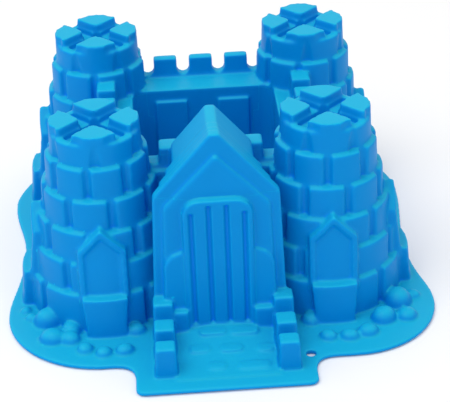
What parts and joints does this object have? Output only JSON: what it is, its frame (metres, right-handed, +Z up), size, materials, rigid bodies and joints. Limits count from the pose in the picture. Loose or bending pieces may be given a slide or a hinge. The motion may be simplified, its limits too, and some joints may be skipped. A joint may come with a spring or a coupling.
{
  "type": "castle sand mould",
  "caption": "One-piece soft mould shaped as a castle, hollow underneath, with round corner towers, crenellated walls, a gabled gatehouse and a bridge on a wavy flat rim.",
  "frame": {"origin": "centre of the bounding box in plan, on the flat underside of the rim", "axes": "+Z up out of the rim, -Y towards the gate and the bridge, +X to the right seen from the gate"},
  "size_m": [0.264, 0.2942, 0.1346],
  "materials": {
    "silicone_blue": "soft moulded silicone with a satin sheen"
  },
  "bodies": {
    "root": {"tower_base_front_left": "silicone_blue", "tower_front_left": "silicone_blue", "crown_front_left": "silicone_blue", "tower_base_front_right": "silicone_blue", "tower_front_right": "silicone_blue", "crown_front_right": "silicone_blue", "tower_base_rear_left": "silicone_blue", "tower_rear_left": "silicone_blue", "crown_rear_left": "silicone_blue", "tower_base_rear_right": "silicone_blue", "tower_rear_right": "silicone_blue", "crown_rear_right": "silicone_blue", "window_bay_front_left_front": "silicone_blue", "window_bay_front_left_side": "silicone_blue", "window_bay_front_right_front": "silicone_blue", "window_bay_front_right_side": "silicone_blue", "window_bay_rear_left_rear": "silicone_blue", "window_bay_rear_left_side": "silicone_blue", "window_bay_rear_right_rear": "silicone_blue", "window_bay_rear_right_side": "silicone_blue", "gatehouse_walls": "silicone_blue", "gatehouse_roof": "silicone_blue", "gate_door": "silicone_blue", "courtyard_well": "silicone_blue", "rear_wall": "silicone_blue", "left_wall": "silicone_blue", "right_wall": "silicone_blue", "front_wall_left": "silicone_blue", "front_wall_right": "silicone_blue", "bridge_parapet_left": "silicone_blue", "bridge_parapet_right": "silicone_blue", "bridge_deck": "silicone_blue", "boulders_front_left": "silicone_blue", "boulders_front_right": "silicone_blue", "boulders_rear_left": "silicone_blue", "boulders_rear_right": "silicone_blue", "rim_flange": "silicone_blue"}
  },
  "joints": []
}
